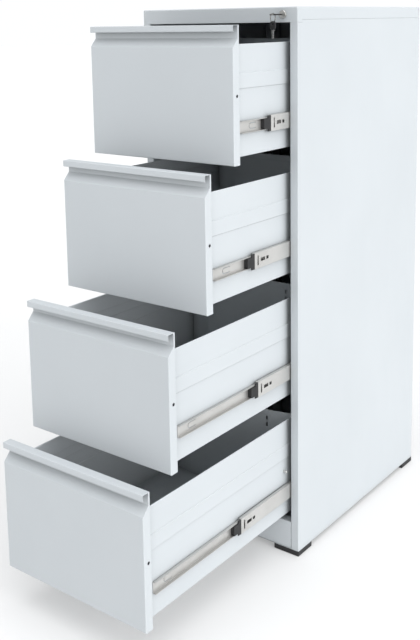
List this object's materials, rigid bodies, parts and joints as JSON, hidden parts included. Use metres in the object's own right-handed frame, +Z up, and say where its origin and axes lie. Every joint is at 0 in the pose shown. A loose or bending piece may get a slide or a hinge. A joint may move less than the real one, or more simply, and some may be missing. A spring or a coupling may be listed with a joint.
{
  "type": "filing cabinet",
  "caption": "Vertical filing cabinet with inset drawers on telescopic slides, finger-lip fronts, and a top lock with its key on a ring.",
  "frame": {"origin": "on the floor, under the middle of the box that the cabinet and its open drawers fill", "axes": "+Z up, the drawers open towards -Y, +X to the right as seen from the front"},
  "size_m": [0.455, 1.1558, 1.32],
  "materials": {
    "grey_paint": "satin powder coat",
    "zinc_steel": "zinc plated",
    "black_plastic": "moulded",
    "nickel_plate": "nickel plated"
  },
  "bodies": {
    "cabinet": {"left_side_panel": "grey_paint", "right_side_panel": "grey_paint", "top_cap": "grey_paint", "back_panel": "grey_paint", "base_panel": "grey_paint", "plinth": "grey_paint", "front_left_upright": "grey_paint", "front_right_upright": "grey_paint", "rear_left_upright": "grey_paint", "rear_right_upright": "grey_paint", "foot_front_left": "black_plastic", "foot_rear_left": "black_plastic", "foot_front_right": "black_plastic", "foot_rear_right": "black_plastic", "lock_housing": "nickel_plate", "lock_nut": "zinc_steel", "lock_guides": "black_plastic", "drawer_1_outer_slides": "zinc_steel", "drawer_2_outer_slides": "zinc_steel", "drawer_3_outer_slides": "zinc_steel", "drawer_4_outer_slides": "zinc_steel"},
    "drawer_1": {"drawer_1_front": "grey_paint", "drawer_1_liner": "grey_paint", "drawer_1_tray": "grey_paint", "drawer_1_back": "grey_paint", "drawer_1_inner_slides": "zinc_steel", "drawer_1_lock_stud": "zinc_steel"},
    "slide_1": {"drawer_1_middle_slides": "zinc_steel", "drawer_1_slide_stops": "black_plastic"},
    "drawer_2": {"drawer_2_front": "grey_paint", "drawer_2_liner": "grey_paint", "drawer_2_tray": "grey_paint", "drawer_2_back": "grey_paint", "drawer_2_inner_slides": "zinc_steel", "drawer_2_lock_stud": "zinc_steel"},
    "slide_2": {"drawer_2_middle_slides": "zinc_steel", "drawer_2_slide_stops": "black_plastic"},
    "drawer_3": {"drawer_3_front": "grey_paint", "drawer_3_liner": "grey_paint", "drawer_3_tray": "grey_paint", "drawer_3_back": "grey_paint", "drawer_3_inner_slides": "zinc_steel", "drawer_3_lock_stud": "zinc_steel"},
    "slide_3": {"drawer_3_middle_slides": "zinc_steel", "drawer_3_slide_stops": "black_plastic"},
    "drawer_4": {"drawer_4_front": "grey_paint", "drawer_4_liner": "grey_paint", "drawer_4_tray": "grey_paint", "drawer_4_back": "grey_paint", "drawer_4_inner_slides": "zinc_steel", "drawer_4_lock_stud": "zinc_steel"},
    "slide_4": {"drawer_4_middle_slides": "zinc_steel", "drawer_4_slide_stops": "black_plastic"},
    "lock": {"lock_plug": "nickel_plate", "lock_rod": "zinc_steel"},
    "lock_bar": {"lock_bar": "zinc_steel"},
    "key": {"key": "nickel_plate"},
    "key_ring": {"key_ring": "nickel_plate"}
  },
  "joints": [
    {"name": "drawer_1_run", "type": "slide", "parent": "cabinet", "child": "drawer_1", "axis": [0, -1, 0], "range_m": [-0.21392, 0.34608]},
    {"name": "slide_1_run", "type": "slide", "parent": "cabinet", "child": "slide_1", "axis": [0, -1, 0], "range_m": [-0.14129, 0.22851]},
    {"name": "drawer_2_run", "type": "slide", "parent": "cabinet", "child": "drawer_2", "axis": [0, -1, 0], "range_m": [-0.3164, 0.2436]},
    {"name": "slide_2_run", "type": "slide", "parent": "cabinet", "child": "slide_2", "axis": [0, -1, 0], "range_m": [-0.20892, 0.16088]},
    {"name": "drawer_3_run", "type": "slide", "parent": "cabinet", "child": "drawer_3", "axis": [0, -1, 0], "range_m": [-0.44296, 0.11704]},
    {"name": "slide_3_run", "type": "slide", "parent": "cabinet", "child": "slide_3", "axis": [0, -1, 0], "range_m": [-0.19943, 0.05277]},
    {"name": "drawer_4_run", "type": "slide", "parent": "cabinet", "child": "drawer_4", "axis": [0, -1, 0], "range_m": [-0.53088, 0.02912]},
    {"name": "slide_4_run", "type": "slide", "parent": "cabinet", "child": "slide_4", "axis": [0, -1, 0], "range_m": [-0.27085, 0.01495]},
    {"name": "lock_turn", "type": "hinge", "parent": "cabinet", "child": "lock", "pos_m": [0.188, -0.04706, 1.303], "axis": [0, 1, 0], "range_deg": [-0.5, 90.5]},
    {"name": "lock_bar_drop", "type": "slide", "parent": "cabinet", "child": "lock_bar", "axis": [0, 0, -1], "range_m": [0, 0.0198]},
    {"name": "key_pull", "type": "slide", "parent": "lock", "child": "key", "axis": [0, -1, 0], "range_m": [0, 0.025]},
    {"name": "ring_swing", "type": "hinge", "parent": "key", "child": "key_ring", "pos_m": [0.188, -0.08781, 1.303], "axis": [0, 1, 0], "range_deg": [-30, 30]}
  ],
  "couplings": [
    {"joint": "slide_1_run", "follows": "drawer_1_run", "ratio": 0.66},
    {"joint": "slide_2_run", "follows": "drawer_2_run", "ratio": 0.66},
    {"joint": "slide_3_run", "follows": "drawer_3_run", "ratio": 0.45},
    {"joint": "slide_4_run", "follows": "drawer_4_run", "ratio": 0.51},
    {"joint": "lock_turn", "follows": "lock_bar_drop", "rad_per_m": 79.337}
  ]
}
